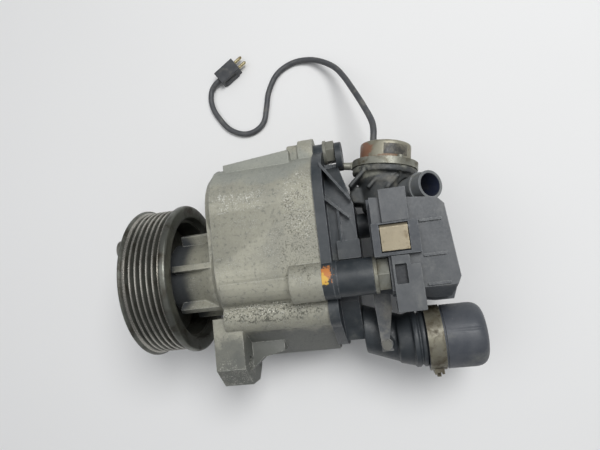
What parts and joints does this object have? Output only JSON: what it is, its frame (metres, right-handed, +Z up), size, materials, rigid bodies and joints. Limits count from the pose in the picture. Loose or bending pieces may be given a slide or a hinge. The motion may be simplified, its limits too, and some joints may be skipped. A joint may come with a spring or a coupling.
{
  "type": "supercharger",
  "caption": "Belt-driven twin-rotor supercharger lying on its side, with grooved pulley, cast casing, filter box, solenoid shut-off valve, outlet silencer and a short electrical lead.",
  "frame": {"origin": "centre of the pulley's belt grooves on the drive shaft's axis", "axes": "+X along the drive shaft from the pulley to the rear, +Y from the drive rotor to the driven rotor, +Z up from the surface the part lies on"},
  "size_m": [0.2136, 0.248, 0.0995],
  "materials": {
    "cast_metal": "weathered sand-cast surface, pitted",
    "plain_alu": "machined",
    "bearing_steel": "ground and polished",
    "shaft_steel": "turned",
    "dark_steel": "dark phosphated, worn bright on the crests",
    "zinc_steel": "yellow zinc plate, dulled",
    "can_zinc": "yellow zinc plate with rust staining",
    "valve_cast": "dark cast surface",
    "rubber_black": "matt",
    "gasket_fibre": "matt sheet",
    "cover_plastic": "satin moulded",
    "box_plastic": "satin moulded",
    "lid_plastic": "satin moulded",
    "spigot_plastic": "satin moulded",
    "pot_plastic": "satin moulded",
    "label_paper": "blank printed film",
    "copper_wire": "wound and varnished",
    "clip_brass": "dulled spring metal",
    "clamp_zinc": "olive zinc plate",
    "bracket_grey": "dull grey",
    "filter_foam": "open foam",
    "silencer_wool": "packed fibre",
    "lead_rubber": "smooth sheath",
    "plug_plastic": "satin moulded",
    "pin_brass": "bright"
  },
  "bodies": {
    "housing": {"rotor_casing": "cast_metal", "casing_dowels": "shaft_steel", "rear_bearing_plate": "plain_alu", "outer_rings": "bearing_steel", "shaft_seals": "rubber_black", "cover_gasket": "gasket_fibre", "rear_cover": "cover_plastic", "cover_screws": "zinc_steel", "bolt_sleeve": "cover_plastic", "long_bolt": "zinc_steel", "long_bolt_washer": "zinc_steel", "top_bolt": "zinc_steel", "top_nut": "zinc_steel", "hanger_eye": "cover_plastic", "valve_body": "valve_cast", "valve_flange": "zinc_steel", "flange_screws": "zinc_steel", "solenoid_can": "can_zinc", "coil": "copper_wire", "pole_piece": "shaft_steel", "valve_spring": "shaft_steel", "valve_stay": "zinc_steel", "can_label": "label_paper", "lead_bush": "rubber_black", "filter_box": "box_plastic", "filter_lid": "lid_plastic", "filter_pad": "filter_foam", "intake_spigot": "spigot_plastic", "lid_straps": "lid_plastic", "clip_frame": "box_plastic", "clip_pin": "shaft_steel", "outlet_elbow": "cover_plastic", "hose_clamp": "clamp_zinc", "silencer_pot": "pot_plastic", "silencer_foam": "silencer_wool", "strut_bracket": "bracket_grey", "strut_screw": "dark_steel", "lead": "lead_rubber", "plug": "plug_plastic", "plug_pins": "pin_brass"},
    "drive_rotor_shaft": {"pulley": "dark_steel", "pulley_bolts": "dark_steel", "pulley_washers": "shaft_steel", "drive_hub": "dark_steel", "hub_key": "shaft_steel", "hub_nut": "dark_steel", "drive_shaft": "shaft_steel", "drive_inner_rings": "bearing_steel", "drive_balls": "bearing_steel", "drive_rotor": "plain_alu", "drive_gear": "shaft_steel", "drive_gear_bolt": "dark_steel"},
    "driven_rotor_shaft": {"driven_shaft": "shaft_steel", "driven_inner_rings": "bearing_steel", "driven_balls": "bearing_steel", "driven_rotor": "plain_alu", "driven_gear": "shaft_steel", "driven_gear_bolt": "dark_steel"},
    "valve_plunger": {"valve_plunger": "shaft_steel"},
    "lid_clip": {"spring_clip": "clip_brass"}
  },
  "joints": [
    {"name": "drive_spin", "type": "hinge", "parent": "housing", "child": "drive_rotor_shaft", "pos_m": [0, 0, 0], "axis": [1, 0, 0], "continuous": true},
    {"name": "driven_spin", "type": "hinge", "parent": "housing", "child": "driven_rotor_shaft", "pos_m": [0.068, 0.036, 0], "axis": [1, 0, 0], "continuous": true},
    {"name": "valve_slide", "type": "slide", "parent": "housing", "child": "valve_plunger", "axis": [0.1736, 0.9848, 0], "range_m": [0, 0.003], "stiffness_N_per_m": 400, "springref_m": -0.004, "deforming": ["valve_spring"]},
    {"name": "clip_hinge", "type": "hinge", "parent": "housing", "child": "lid_clip", "pos_m": [0.144, 0.0116, 0.041], "axis": [-1, 0, 0], "range_deg": [0, 75], "stiffness_Nm_per_rad": 0.004, "springref_deg": -17.19}
  ],
  "couplings": [
    {"joint": "driven_spin", "follows": "drive_spin", "ratio": -1}
  ]
}
